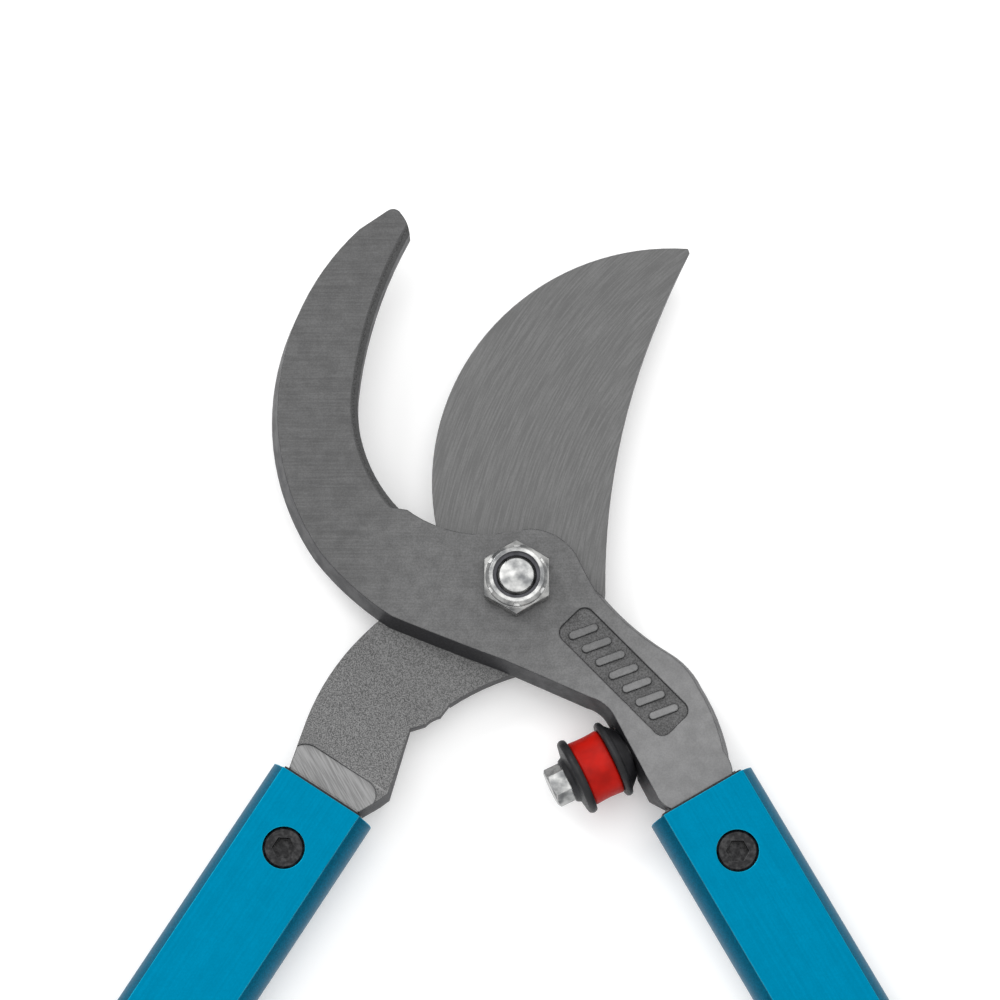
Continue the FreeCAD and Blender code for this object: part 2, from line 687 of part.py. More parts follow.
def make_pivot_washer():
    """The thin washer between the bolt's head and the blade."""
    body = new_body("pivot_washer")
    turned(body, band(bore_radius, size("washer_dia") / 2, size("bolt_head_thick"), blade_bottom - 0.05))
    return body


def make_pivot_bush():
    """The bronze bush pressed into the blade, which turns on the bolt."""
    body = new_body("pivot_bush")
    turned(body, band(bore_radius, bush_radius, blade_bottom, blade_top))
    return body


# ---------------------------------------------------------------- the handles

# Where the middle of a tube's round shoulder lies, as shares of its width and height
SHOULDER_BULGE = 0.72
SHOULDER_HEIGHT = 0.62
INNER_CORNER = 1.5
LINER_GAP = 0.05


def tube_section():
    """A tube's cross-section: flat lands front and back, with rounded shoulders stepped below them."""
    land = size("land_width") / 2
    thick = size("tube_thick") / 2
    wide = size("tube_width") / 2
    foot = thick - size("land_step")
    bulge_x = land + (wide - land) * SHOULDER_BULGE
    bulge_z = foot * SHOULDER_HEIGHT
    right = [(land, -thick), (land, -foot), via(bulge_x, -bulge_z), (wide, 0), via(bulge_x, bulge_z),
             (land, foot), (land, thick)]
    left = [type(p)((-p[0], -p[1])) for p in right]
    return right + left


def inner_section(gap=0.0):
    """The hollow of a tube: a plain rounded rectangle a wall inside the lands."""
    wall = size("tube_wall")
    width = size("land_width") + 0.2 - 2 * gap
    thick = size("tube_thick") - 2 * wall - 2 * gap
    return rounded_rectangle(width, thick, INNER_CORNER)


def make_tube(handle):
    """An extruded aluminium handle tube, cross-drilled for its screw and barrel nut."""
    body = new_body(handle.side + "_tube")
    outline = sketch_on(body, "YZ_Plane", tube_section(), lift=handle.side + "_mouth")
    draw(outline, inner_section())
    pad(body, outline, "tube_length")
    hole = sketch_circle(body, "XY_Plane", "screw_head_dia / 2 + head_gap", (handle.screw, 0))
    cut(body, hole, "tube_thick * 2", midplane=True)
    handle.place(body)
    return body


def make_liner(handle):
    """The black nylon sleeve that fills the tube round the tongue."""
    body = new_body(handle.side + "_tang_liner")
    lip = handle.side + "_lip"
    outline = sketch_on(body, "YZ_Plane", inner_section(LINER_GAP), lift=f"{handle.side}_mouth - {lip}")
    draw(outline, rounded_rectangle(size("tongue_width"), size("tongue_thick"), 0.01))
    pad(body, outline, lip + " + tongue_length + 3")
    hole = sketch_circle(body, "XY_Plane", "screw_head_dia / 2 + head_gap", (handle.screw, 0))
    cut(body, hole, "tube_thick * 2", midplane=True)
    handle.place(body)
    return body


SCREW_RIM = 0.5
SLOT_WIDTH = 1.4


def make_tube_screw(handle):
    """The socket-head screw through the tube, its head down in the hole on the front."""
    body = new_body(handle.side + "_tube_screw")
    seat = size("tongue_thick") / 2
    radius = size("screw_dia") / 2
    head = size("screw_head_dia") / 2
    top = seat + size("screw_head_thick")
    end = -seat - 1.5
    profile = [(0, end), (radius - SCREW_RIM, end), (radius, end + SCREW_RIM), (radius, seat), (head, seat),
               (head, top - SCREW_RIM), (head - SCREW_RIM, top), (0, top)]
    turned(body, profile)
    socket = sketch_on(body, "XY_Plane", hexagon(size("screw_socket")),
                       lift="tongue_thick / 2 + screw_head_thick")
    cut(body, socket, "screw_head_thick * 0.6")
    place_at_screw(body, handle)
    return body


def place_at_screw(body, handle):
    """Stand a round piece on the tube screw's axis."""
    spot = handle.point(handle.screw, 0)
    body.Placement = Placement(Vector(*spot, handle_height), Rotation(UP, math.degrees(handle.angle)))


def make_barrel_nut(handle):
    """The sleeve nut that the tube screw threads into from the back."""
    body = new_body(handle.side + "_barrel_nut")
    seat = size("tongue_thick") / 2
    sleeve = size("barrel_dia") / 2
    head = size("screw_head_dia") / 2
    bore = size("screw_dia") / 2
    back = -seat - size("screw_head_thick")
    floor = back + 1.5
    profile = [(0, back), (head - SCREW_RIM, back), (head, back + SCREW_RIM), (head, -seat), (sleeve, -seat),
               (sleeve, seat - 1), (bore, seat - 1), (bore, floor), (0, floor)]
    turned(body, profile)
    slot = rounded_rectangle(head * 2 + 1, SLOT_WIDTH, 0.2)
    slot_sketch = sketch_on(body, "XY_Plane", slot, lift="0 - tongue_thick / 2 - screw_head_thick")
    cut(body, slot_sketch, "1", reverse=True)
    place_at_screw(body, handle)
    return body


# Stations along a grip: distance from its front end as a share of its length, and its girth
GRIP_STATIONS = [(0.0, 0.98), (0.02, 1.0), (0.055, 1.0), (0.09, 0.9), (0.45, 0.955), (0.86, 0.92), (0.95, 1.0),
                 (1.0, 1.0)]
GRIP_CORNER = 0.36


def make_grip(handle):
    """The rubber grip pulled over the end of the tube, swelling at its front and its end."""
    body = new_body(handle.side + "_grip")
    start = handle.end - size("grip_length")
    width = size("grip_width")
    thick = size("grip_thick")
    sections = []
    for share, girth in GRIP_STATIONS:
        path = rounded_rectangle(width * girth, thick * girth, thick * girth * GRIP_CORNER)
        spot = Placement(Vector(start + share * size("grip_length"), 0, 0), Rotation(Vector(1, 1, 1), 120))
        sections.append(sketch_on(body, "XY_Plane", path, placed=spot))
    loft(body, *sections)
    hollow = sketch_on(body, "YZ_Plane", tube_section(), lift=handle.side + "_mouth + tube_length - grip_length")
    cut(body, hollow, "grip_length", reverse=True)
    handle.place(body)
    return body


END_PLUG_FLANGE = 3.0
END_PLUG_SHANK = 18.0
END_PLUG_INSET = 3.0


def make_end_plug(handle):
    """The plug that closes the tube's end, its flange behind the grip."""
    body = new_body(handle.side + "_end_plug")
    width = size("grip_width")
    thick = size("grip_thick")
    end = f"{handle.side}_mouth + tube_length"
    flange = rounded_rectangle(width - END_PLUG_INSET, thick - END_PLUG_INSET, thick * 0.33)
    pad(body, sketch_on(body, "YZ_Plane", flange, lift=end), str(END_PLUG_FLANGE))
    pad(body, sketch_on(body, "YZ_Plane", inner_section(LINER_GAP), lift=end), str(END_PLUG_SHANK), reverse=True)
    handle.place(body)
    return body


# ---------------------------------------------------------------- the bumper

def bumper_piece(label, profile):
    """A round piece on the bumper's axis from its half section."""
    body = new_body(label)
    turned(body, profile)
    body.Placement = Placement(Vector(*BUMPER_FOOT), Rotation(UP.cross(BUMPER_OUT), UP * -1, BUMPER_OUT, "ZXY"))
    return body


def make_bumper_base():
    """The bumper's inner flange, with a spigot let into the tang."""
    flange = size("bumper_flange_dia") / 2
    bore = size("bumper_bolt_dia") / 2 + size("running_gap")
    flange_start = BUMPER_FACE + BUMPER_BASE_THICK
    spigot_end = BUMPER_FACE - BUMPER_SPIGOT_LENGTH
    profile = [(bore, spigot_end), (BUMPER_SPIGOT_RADIUS, spigot_end), (BUMPER_SPIGOT_RADIUS, BUMPER_FACE),
               (base_foot, BUMPER_FACE), (flange - 1.2, flange_start),
               (flange - 0.4, flange_start + 0.3), via(flange, flange_start + 0.8), (flange - 0.4, core_start),
               (bore, core_start)]
    return bumper_piece("bumper_base", profile)


def make_bumper_core():
    """The soft red core that squashes between the flanges."""
    core = size("bumper_core_dia") / 2
    return bumper_piece("bumper_core", band(size("bumper_bolt_dia") / 2 + 0.3, core, core_start, core_end))


def make_bumper_cap():
    """The bumper's outer flange, dished on its outer face, with a small boss."""
    flange = size("bumper_flange_dia") / 2
    bore = size("bumper_bolt_dia") / 2
    profile = [(bore, core_end), (flange - 0.4, core_end), via(flange, core_end + 0.9), (flange - 0.6, cap_end),
               (bore + 3.6, cap_end + 0.6), (bore + 3.0, head_start), (bore, head_start)]
    return bumper_piece("bumper_cap", profile)


def make_bumper_bolt():
    """The hexagon bolt through the bumper, whose head takes the blow and whose shank slides."""
    shank = size("bumper_bolt_dia") / 2
    flats = size("bumper_flats")
    body = bumper_piece("bumper_bolt", band(0, shank, BUMPER_FACE - SHANK_DEPTH, head_start + 1))
    lifted = Placement(Vector(0, 0, head_start), Rotation())
    sketch = sketch_on(body, "XY_Plane", hexagon(flats, 0), placed=lifted)
    pad(body, sketch, str(BUMPER_HEAD_THICK))
    chamfer_corners(body, flats, head_start, head_end, False, True)
    return body


# ---------------------------------------------------------------- build and export

def make_handle(handle):
    """All the pieces of one handle beyond the jaw's tongue."""
    makers = (make_tube, make_liner, make_tube_screw, make_barrel_nut, make_grip, make_end_plug)
    return [maker(handle) for maker in makers]


def check(pieces):
    """Stop if any object failed or any piece is empty or not a valid solid."""
    for obj in doc.Objects:
        if {"Invalid", "Error"} & set(obj.State):
            raise RuntimeError(f"{obj.Label} failed to compute: {obj.State}")
    for piece in pieces:
        if piece.Shape.isNull() or not piece.Shape.isValid():
            raise RuntimeError(piece.Label + " has no valid shape")


def main():
    pieces = [make_hook_jaw(), make_cutting_blade(), make_pivot_bolt(), make_pivot_nut(), make_nut_lock_ring(),
              make_pivot_washer(), make_pivot_bush()]
    pieces += make_handle(RIGHT) + make_handle(LEFT)
    pieces += [make_bumper_base(), make_bumper_core(), make_bumper_cap(), make_bumper_bolt()]
    doc.recompute()
    check(pieces)
    os.makedirs("parts", exist_ok=True)
    for piece in pieces:
        piece.Shape.exportStep(f"parts/{piece.Label}.step")


main()
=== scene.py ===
"""The looks of a pair of bypass loppers: forged jaws, anodised handle tubes, rubber grips and a bumper."""

import json
import math

import bmesh
import bpy
from mathutils import Matrix, Vector


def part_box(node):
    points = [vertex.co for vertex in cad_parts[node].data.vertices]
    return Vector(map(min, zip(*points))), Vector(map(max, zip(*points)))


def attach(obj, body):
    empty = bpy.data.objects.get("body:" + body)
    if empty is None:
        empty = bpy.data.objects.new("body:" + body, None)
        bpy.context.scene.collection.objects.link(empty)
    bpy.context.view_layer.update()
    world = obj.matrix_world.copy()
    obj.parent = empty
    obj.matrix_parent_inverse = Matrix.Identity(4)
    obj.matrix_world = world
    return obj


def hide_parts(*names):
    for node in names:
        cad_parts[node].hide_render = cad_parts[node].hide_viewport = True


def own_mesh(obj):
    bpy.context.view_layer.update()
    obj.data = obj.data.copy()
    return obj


bl_info = {
    "name": "Bypass loppers",
    "version": (1, 0, 0),
    "blender": (4, 5, 0),
    "location": "3D View > Sidebar > Loppers",
    "description": "Finishes, grips, bumper and stage of a pair of bypass loppers",
    "category": "Object",
}

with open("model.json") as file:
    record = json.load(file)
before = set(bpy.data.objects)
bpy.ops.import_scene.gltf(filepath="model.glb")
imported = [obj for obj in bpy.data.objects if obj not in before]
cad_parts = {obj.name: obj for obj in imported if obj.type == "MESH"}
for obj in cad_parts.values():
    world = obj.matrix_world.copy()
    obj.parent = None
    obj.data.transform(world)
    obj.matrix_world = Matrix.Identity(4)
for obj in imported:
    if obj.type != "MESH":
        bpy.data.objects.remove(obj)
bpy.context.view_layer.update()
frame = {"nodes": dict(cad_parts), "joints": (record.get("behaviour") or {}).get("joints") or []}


# ---------------------------------------------------------------- places, read from the frame

def centre_of(node):
    low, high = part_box(node)
    return (Vector(low) + Vector(high)) / 2


def spots_of(node):
    """The node's vertices, in the object's own frame."""
    return [vertex.co.copy() for vertex in frame["nodes"][node].data.vertices]


class HandleFrame:
    """One handle's axis: out along the tube from its screw, with across square to it and level."""

    def __init__(self, side):
        self.side = side
        middle = centre_of(side + "_tube")
        self.origin = centre_of(side + "_tube_screw")
        self.origin.z = middle.z
        self.along = (middle - self.origin).normalized()
        self.across = Vector((0, 0, 1)).cross(self.along)

    def matrix(self):
        """Local X runs along the tube, local Y across it and local Z up."""
        turn = Matrix((self.along, self.across, Vector((0, 0, 1)))).transposed()
        return Matrix.Translation(self.origin) @ turn.to_4x4()

    def reach(self, node):
        """How far a node starts and ends along the tube."""
        shares = [(spot - self.origin).dot(self.along) for spot in spots_of(node)]
        return min(shares), max(shares)

    def half_size(self, node):
        """Half a node's width across the tube, and half its thickness."""
        across = [abs((spot - self.origin).dot(self.across)) for spot in spots_of(node)]
        heights = [abs(spot.z - self.origin.z) for spot in spots_of(node)]
        return max(across), max(heights)


RIGHT = HandleFrame("right")
LEFT = HandleFrame("left")
HANDLES = (RIGHT, LEFT)
JOINTS = {joint["name"]: joint for joint in frame["joints"]}
HOOK_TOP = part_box("hook_jaw")[1][2]
TANG_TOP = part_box("cutting_blade")[1][2]


# ---------------------------------------------------------------- what a user would change

class LopperColours(bpy.types.PropertyGroup):
    """The colours of the finishes."""
    anodising: bpy.props.FloatVectorProperty(
        name="Anodising", description="Colour of the handle tubes", subtype="COLOR",
        default=(0.0, 0.145, 0.255), min=0, max=1)
    forging: bpy.props.FloatVectorProperty(
        name="Forging", description="Colour of the ground steel of the hook", subtype="COLOR",
        default=(0.118, 0.118, 0.119), min=0, max=1)
    blade: bpy.props.FloatVectorProperty(
        name="Blade", description="Colour of the ground steel of the blade", subtype="COLOR",
        default=(0.116, 0.116, 0.116), min=0, max=1)
    scale: bpy.props.FloatVectorProperty(
        name="Forge scale", description="Colour of the sides left as forged", subtype="COLOR",
        default=(0.016, 0.016, 0.018), min=0, max=1)
    bumper: bpy.props.FloatVectorProperty(
        name="Bumper", description="Colour of the bumper's soft core", subtype="COLOR",
        default=(0.4, 0.006, 0.002), min=0, max=1)
    rubber: bpy.props.FloatVectorProperty(
        name="Rubber", description="Colour of the grips", subtype="COLOR",
        default=(0.016, 0.016, 0.017), min=0, max=1)


class LopperSizes(bpy.types.PropertyGroup):
    """The small sizes of the finish."""
    metal_edge: bpy.props.FloatProperty(
        name="Metal edge", description="Width of the rounding along metal edges", subtype="DISTANCE",
        default=0.00022, min=0.00005, max=0.001)
    rib_pitch: bpy.props.FloatProperty(
        name="Rib pitch", description="Distance from one rib of a grip to the next", subtype="DISTANCE",
        default=0.0052, min=0.003, max=0.02)
    rib_depth: bpy.props.FloatProperty(
        name="Rib depth", description="Depth of the grooves between a grip's ribs", subtype="DISTANCE",
        default=0.0008, min=0.0, max=0.002)
    camera_distance: bpy.props.FloatProperty(
        name="Camera distance", description="Distance of the camera from the jaws", subtype="DISTANCE",
        default=1.022, min=0.3, max=5.0)
    camera_tilt: bpy.props.FloatProperty(
        name="Camera tilt", description="How far the camera leans back towards the handles",
        subtype="ANGLE", default=math.radians(12), min=0, max=1.5)


# ---------------------------------------------------------------- node helpers

def put(tree, socket, value):
    """Link a socket to another one, or set it to a plain value."""
    if isinstance(value, bpy.types.NodeSocket):
        tree.links.new(value, socket)
    else:
        socket.default_value = value


def add(tree, kind, settings=None, **inputs):
    """A shader node with its settings, and with its inputs set or linked by name, or by number as i0."""
    made = tree.nodes.new(kind)
    for name, value in (settings or {}).items():
        setattr(made, name, value)
    for name, value in inputs.items():
        key = int(name[1:]) if name[0] == "i" and name[1:].isdigit() else name.replace("_", " ")
        put(tree, made.inputs[key], value)
    return made


def maths(tree, operation, first, second=0.0, third=0.0):
    return add(tree, "ShaderNodeMath", {"operation": operation}, i0=first, i1=second, i2=third).outputs[0]


def times(tree, first, second):
    return maths(tree, "MULTIPLY", first, second)


def times_plus(tree, value, factor, offset):
    """A value times a factor, plus an offset."""
    return maths(tree, "MULTIPLY_ADD", value, factor, offset)


def vector_maths(tree, operation, first, second, output=0):
    return add(tree, "ShaderNodeVectorMath", {"operation": operation}, i0=first, i1=second).outputs[output]


def noise(tree, place, scale, detail, roughness=0.5):
    return add(tree, "ShaderNodeTexNoise", None, Vector=place, Scale=scale, Detail=detail,
               Roughness=roughness).outputs[0]


def ramp(tree, value, low, high, start=0.0, end=1.0):
    """A value mapped smoothly from one range to another."""
    return add(tree, "ShaderNodeMapRange", {"interpolation_type": "SMOOTHSTEP"}, Value=value,
               i1=low, i2=high, i3=start, i4=end).outputs[0]


def mix(tree, share, first, second):
    """Two colours, plain or from sockets, mixed by a share."""
    first, second = (value if isinstance(value, bpy.types.NodeSocket) else (*value[:3], 1)
                     for value in (first, second))
    return add(tree, "ShaderNodeMix", {"data_type": "RGBA"}, i0=share, i6=first, i7=second).outputs[2]


def group(name, inputs, outputs, fill):
    """A shader node group, made once: inputs are (name, kind, default), outputs (name, kind)."""
    if name in bpy.data.node_groups:
        return bpy.data.node_groups[name]
    tree = bpy.data.node_groups.new(name, "ShaderNodeTree")
    for label, kind, default in inputs:
        socket = tree.interface.new_socket(label, in_out="INPUT", socket_type=kind)
        if default is not None:
            socket.default_value = default
    for label, kind in outputs:
        tree.interface.new_socket(label, in_out="OUTPUT", socket_type=kind)
    start = tree.nodes.new("NodeGroupInput")
    end = tree.nodes.new("NodeGroupOutput")
    for label, socket in fill(tree, start.outputs).items():
        tree.links.new(socket, end.inputs[label])
    return tree


def use(tree, shared, **inputs):
    """A placed node group, with its inputs set by name."""
    return add(tree, "ShaderNodeGroup", {"node_tree": shared}, **inputs).outputs


FLOAT = "NodeSocketFloat"
VECTOR = "NodeSocketVector"

# Limits between which a noise turns from dark to pale.
GRAIN_CONTRAST = (0.36, 0.64)
CLOUD_CONTRAST = (0.3, 0.7)
LINE_CONTRAST = (0.35, 0.65)
ARC_CONTRAST = (0.38, 0.66)
PATCH_CONTRAST = (0.25, 0.5)

COARSE_GRAIN = 0.12  # coarse grain's scale, as a share of the fine grain's
WIDE_BANDS = 0.1  # wide bands' scale, as a share of the lines'
COARSE_HEIGHT = 0.35
FINE_HEIGHT = 0.65


def grain_group():
    """Fine even grain, as of blasted or cast metal and moulded rubber."""
    def fill(tree, given):
        fine = noise(tree, given["Place"], given["Scale"], detail=3.0, roughness=0.65)
        coarse = noise(tree, given["Place"], times(tree, given["Scale"], COARSE_GRAIN), detail=2.0)
        height = times_plus(tree, coarse, COARSE_HEIGHT, times(tree, fine, FINE_HEIGHT))
        return {"Height": height, "Mask": ramp(tree, fine, *GRAIN_CONTRAST),
                "Cloud": ramp(tree, coarse, *CLOUD_CONTRAST)}
    return group("surface grain", [("Place", VECTOR, None), ("Scale", FLOAT, 900.0)],
                 [("Height", FLOAT), ("Mask", FLOAT), ("Cloud", FLOAT)], fill)


def brushed_group():
    """Straight fine lines at an angle about Z, as left by a grinding belt."""
    def fill(tree, given):
        turned = add(tree, "ShaderNodeVectorRotate", {"rotation_type": "Z_AXIS"}, Vector=given["Place"],
                     Angle=given["Angle"]).outputs[0]
        stretch = add(tree, "ShaderNodeCombineXYZ", None, X=given["Stretch"], Y=1.0, Z=1.0).outputs[0]
        place = vector_maths(tree, "MULTIPLY", turned, stretch)
        lines = noise(tree, place, given["Scale"], detail=4.0, roughness=0.6)
        wide = noise(tree, place, times(tree, given["Scale"], WIDE_BANDS), detail=2.0)
        return {"Height": lines, "Mask": ramp(tree, lines, *LINE_CONTRAST),
                "Bands": ramp(tree, wide, *CLOUD_CONTRAST)}
    inputs = [("Place", VECTOR, None), ("Angle", FLOAT, 0.0), ("Stretch", FLOAT, 0.03),
              ("Scale", FLOAT, 2500.0)]
    return group("brushed lines", inputs, [("Height", FLOAT), ("Mask", FLOAT), ("Bands", FLOAT)], fill)


def arcs_group():
    """Fine lines that run in arcs about a centre, as left by a grinding wheel."""
    def fill(tree, given):
        offset = vector_maths(tree, "SUBTRACT", given["Place"], given["Centre"])
        parts = add(tree, "ShaderNodeSeparateXYZ", None, Vector=offset).outputs
        squares = maths(tree, "ADD", maths(tree, "POWER", parts[0], 2.0), maths(tree, "POWER", parts[1], 2.0))
        angle = maths(tree, "ARCTAN2", parts[1], parts[0])
        place = add(tree, "ShaderNodeCombineXYZ", None, X=maths(tree, "POWER", squares, 0.5),
                    Y=times(tree, angle, given["Stretch"])).outputs[0]
        lines = noise(tree, place, given["Scale"], detail=4.0, roughness=0.62)
        return {"Height": lines, "Mask": ramp(tree, lines, *ARC_CONTRAST)}
    inputs = [("Place", VECTOR, None), ("Centre", VECTOR, None), ("Stretch", FLOAT, 0.006),
              ("Scale", FLOAT, 1500.0)]
    return group("grinding arcs", inputs, [("Height", FLOAT), ("Mask", FLOAT)], fill)


EDGE_TURN = (0.995, 0.86)  # cosine of the rounding's turn, where the edge mask for wear and painted light starts and where it is full
PATCH_SCALE = 180.0
LEAST_WEAR = 0.45


def edge_wear_and_light_group():
    """The rounding of an edge, as a normal, and a mask of the edge, where it is rubbed bright and where a
    painted highlight and painted shade go.
    """
    def fill(tree, given):
        rounded = add(tree, "ShaderNodeBevel", {"samples": 6}, Radius=given["Radius"]).outputs[0]
        true = add(tree, "ShaderNodeNewGeometry").outputs["Normal"]
        edge = ramp(tree, vector_maths(tree, "DOT_PRODUCT", rounded, true, "Value"), *EDGE_TURN)
        patches = noise(tree, given["Place"], PATCH_SCALE, detail=3.0)
        worn = times(tree, edge, ramp(tree, patches, *PATCH_CONTRAST, LEAST_WEAR))
        return {"Mask": worn, "Normal": rounded}
    return group("edge wear and light", [("Place", VECTOR, None), ("Radius", FLOAT, 0.0004)],
                 [("Mask", FLOAT), ("Normal", VECTOR)], fill)


# ---------------------------------------------------------------- materials

class Finish:
    """A material being made: its tree, its shader and the common inputs of its surface."""

    def __init__(self, name):
        self.material = bpy.data.materials.new(name)
        self.material.use_nodes = True
        self.tree = self.material.node_tree
        self.shader = self.tree.nodes["Principled BSDF"]
        surface = add(self.tree, "ShaderNodeTexCoord").outputs
        self.place = surface["Object"]
        self.parts = add(self.tree, "ShaderNodeSeparateXYZ", None, Vector=self.place).outputs
        self.normal = add(self.tree, "ShaderNodeSeparateXYZ", None, Vector=surface["Normal"]).outputs

    def set(self, **inputs):
        for name, value in inputs.items():
            put(self.tree, self.shader.inputs[name.replace("_", " ")], value)

    def grain(self, scale):
        return use(self.tree, grain_group(), Place=self.place, Scale=scale)

    def lines(self, angle, stretch, scale):
        return use(self.tree, brushed_group(), Place=self.place, Angle=angle, Stretch=stretch, Scale=scale)

    def bump(self, height, distance, strength, under=None):
        inputs = {"Height": height, "Distance": distance, "Strength": strength}
        if under is not None:
            inputs["Normal"] = under
        return add(self.tree, "ShaderNodeBump", None, **inputs).outputs[0]

    def wear(self, radius):
        """The mask and the normal of rounded, rubbed edges; the mask also places painted highlight and
        painted shade.
        """
        made = use(self.tree, edge_wear_and_light_group(), Place=self.place, Radius=radius)
        return made["Mask"], made["Normal"]


def shade(colour, factor):
    return tuple(min(1.0, channel * factor) for channel in colour)


WALL_TO_FACE = (0.35, 0.6)  # height of the normal on a wall and on a level face
SHARP_FADE = 0.0001
PAD_CORNER_SHADE_RANGE = (0.05, 0.4)  # edge mask over which painted shade darkens a pad's corner
# darkness of the painted shade in a pad's corner, as a share of the scale's colour
CORNER_SHADE = 0.5
EDGE_SHADE_LINE_RANGE = (0.72, 0.86)  # edge mask over which the painted shade line along an edge begins, in the scale's colour
PALE_SCALE = 1.9
# how much paler than the steel the rubbed edges are, brightened further as a painted highlight
EDGE_HIGHLIGHT_FACTOR = 2.4
WALL_BRIGHTNESS = 0.15


class JawFinish(Finish):
    """Forged steel ground on its faces: scale left on the walls, sunk pads with painted shade in their
    corners, and edges rubbed bright with a painted highlight and a painted shade line along them.
    """

    def __init__(self, name, steel, scale, grain_scale, edge):
        super().__init__(name)
        self.steel = steel
        self.scale = scale
        self.flat = ramp(self.tree, maths(self.tree, "ABSOLUTE", self.normal[2]), *WALL_TO_FACE)
        self.fine = self.grain(grain_scale)
        self.worn, self.rounded = self.wear(edge)

    def tones(self, shares):
        return {name: shade(self.steel, share) for name, share in shares.items()}

    def along(self, handle, start):
        """1 beyond a place along a handle's axis, measured from its screw."""
        offset = vector_maths(self.tree, "SUBTRACT", self.place, tuple(handle.origin))
        share = vector_maths(self.tree, "DOT_PRODUCT", offset, tuple(handle.along), "Value")
        return ramp(self.tree, share, start, start + SHARP_FADE)

    def band(self, top, lowest, highest, fade):
        """1 between two depths below a top, fading to 0 outside them."""
        above = ramp(self.tree, self.parts[2], top - lowest - fade, top - lowest)
        below = ramp(self.tree, self.parts[2], top - highest + fade, top - highest)
        return times(self.tree, above, below)

    def complete(self, face, pad, sunk, brightness, outline, roughness, height):
        """Pads with painted shade in their corners, scale on the walls, and edges rubbed bright with a
        painted highlight and a painted shade line along them.
        """
        tree = self.tree
        # Painted shade: each sunk pad darkens towards the scale's colour in its corners.
        pad = mix(tree, ramp(tree, self.worn, *PAD_CORNER_SHADE_RANGE), pad, shade(self.scale, CORNER_SHADE))
        walls = mix(tree, self.fine["Mask"], self.scale, shade(self.scale, PALE_SCALE))
        colour = mix(tree, self.flat, walls, mix(tree, sunk, face, pad))
        # Edges rubbed bright and strengthened into a painted highlight, more on the faces than on the walls,
        # none in the sunk pads.
        bright = times(tree, maths(tree, "SUBTRACT", 1.0, sunk),
                       times_plus(tree, self.flat, brightness, WALL_BRIGHTNESS))
        colour = mix(tree, times(tree, self.worn, bright), colour, shade(self.steel, EDGE_HIGHLIGHT_FACTOR))
        # A painted shade line in the scale's colour along the most turned part of each edge, as strong as the
        # outline share.
        colour = mix(tree, times(tree, ramp(tree, self.worn, *EDGE_SHADE_LINE_RANGE), outline), colour, self.scale)
        self.set(Base_Color=colour, Metallic=times_plus(tree, self.flat, 0.25, 0.3), Roughness=roughness,
                 Normal=self.bump(height, 0.00008, 0.55, self.rounded))
        return self.material


# Where the hook's jaw and tang begin and are complete: from the pivot, and to a side of its diagonal.
JAW_REACH = (0.024, 0.046)
JAW_SIDE = (0.0, 0.04)
HOOK_TANG_SIDE = (0.01, 0.075)
HOOK_PAD = (0.0009, 0.0004, 0.00015)  # lowest and highest, below the hook's top, and the fade outside them
HOOK_EDGE = 2.6
# The middle, jaw and tang tones are a painted sheen: the ground face is paler on the tang and darker on the
# jaw.
HOOK_TONES = {"middle": 0.92, "jaw": 0.7, "tang": 1.5, "line": 1.45, "pit": 0.4, "pad": 0.85}
LINE_STRENGTH = 0.22
PIT_STRENGTH = 0.4
TANG_SMOOTHNESS = 0.6


def hook_finish(colours, sizes):
    """Ground and blasted steel on the faces, with the forging scale left on the walls."""
    made = JawFinish("forged steel", colours.forging, colours.scale, 2400.0, sizes.metal_edge * HOOK_EDGE)
    tree = made.tree
    tones = made.tones(HOOK_TONES)
    lines = made.lines(angle=0.0, stretch=0.03, scale=2300.0)
    across, up, _ = made.parts
    from_pivot = maths(tree, "SQRT", maths(tree, "ADD", maths(tree, "POWER", across, 2.0),
                                           maths(tree, "POWER", up, 2.0)))
    jaw = times(tree, ramp(tree, from_pivot, *JAW_REACH),
                ramp(tree, maths(tree, "SUBTRACT", up, across), *JAW_SIDE))
    tang = ramp(tree, maths(tree, "SUBTRACT", across, up), *HOOK_TANG_SIDE)
    # Painted sheen: the ground face is mixed paler towards the tang and darker towards the jaw.
    ground = mix(tree, tang, mix(tree, jaw, tones["middle"], tones["jaw"]), tones["tang"])
    marked = maths(tree, "SUBTRACT", 1.0, times(tree, tang, TANG_SMOOTHNESS))
    lined = times(tree, lines["Mask"], times(tree, marked, LINE_STRENGTH))
    pitted = times(tree, made.fine["Mask"], times(tree, marked, PIT_STRENGTH))
    ground = mix(tree, pitted, mix(tree, lined, ground, tones["line"]), tones["pit"])
    return made.complete(
        face=ground,
        pad=mix(tree, made.fine["Mask"], tones["pit"], tones["pad"]),
        sunk=times(tree, made.band(HOOK_TOP, *HOOK_PAD), made.flat),
        brightness=0.5, outline=0.85,
        roughness=times_plus(tree, made.fine["Cloud"], 0.12, 0.46),
        height=times_plus(tree, lines["Height"], 0.5, made.fine["Height"]))


BLADE_GRIND_CENTRE = (0.118, -0.01, 0.0)
BLADE_EDGE = 2.2
BLADE_TONES = {"dark arc": 0.78, "pale arc": 1.32, "pit": 0.6, "level": 1.6, "sloping": 2.1, "milled": 1.5,
               "milled line": 2.4}
ARC_STRENGTH = 0.55
BLADE_PIT_STRENGTH = 0.25
TANG_SLANT = 0.426  # slope of the line under the hook at which the blade's tang begins
BLADE_TANG = (-0.019, -0.0215)
SLOPE = (0.99, 0.97)  # height of the normal on level and on sloping forging; the sloping forging is painted paler, painted light against its shading
MILLED_LENGTH = 0.0092
MILLED_PAD = (0.0006, 0.0003, 0.00005)  # lowest and highest, below the tang's top, and the fade outside them
MILLED_ANGLE = math.radians(60)


